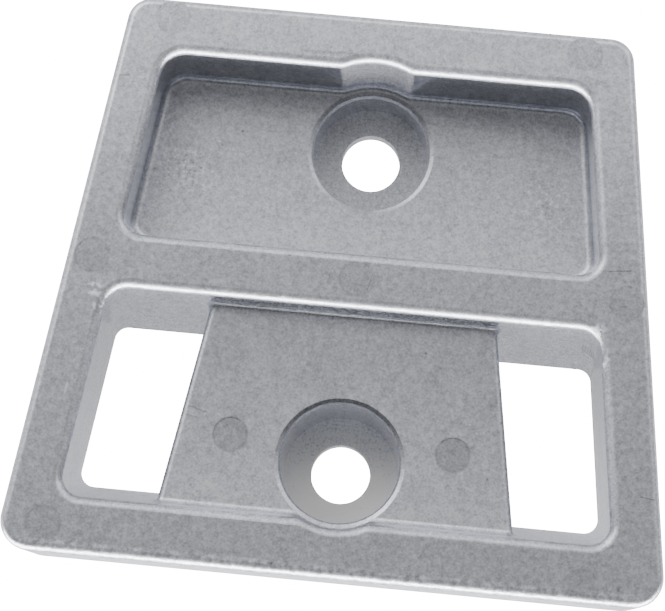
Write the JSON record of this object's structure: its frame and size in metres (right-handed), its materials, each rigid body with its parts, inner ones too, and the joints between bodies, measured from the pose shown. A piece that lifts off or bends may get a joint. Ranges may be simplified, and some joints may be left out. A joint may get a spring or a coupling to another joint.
{
  "type": "sacrificial anode",
  "caption": "Cast sacrificial anode plate with a tapered outline, a closed pocket and an open recess crossed by a bolted bridge.",
  "frame": {"origin": "bottom centre of the casting's bounding box, on the flat underside", "axes": "+X across the plate, +Y from the wide end towards the narrow end, +Z from the underside to the rim"},
  "size_m": [0.1028, 0.0904, 0.02],
  "materials": {
    "cast_metal": "as-cast, satin, slightly weathered"
  },
  "bodies": {
    "root": {"anode_plate": "cast_metal"}
  },
  "joints": []
}
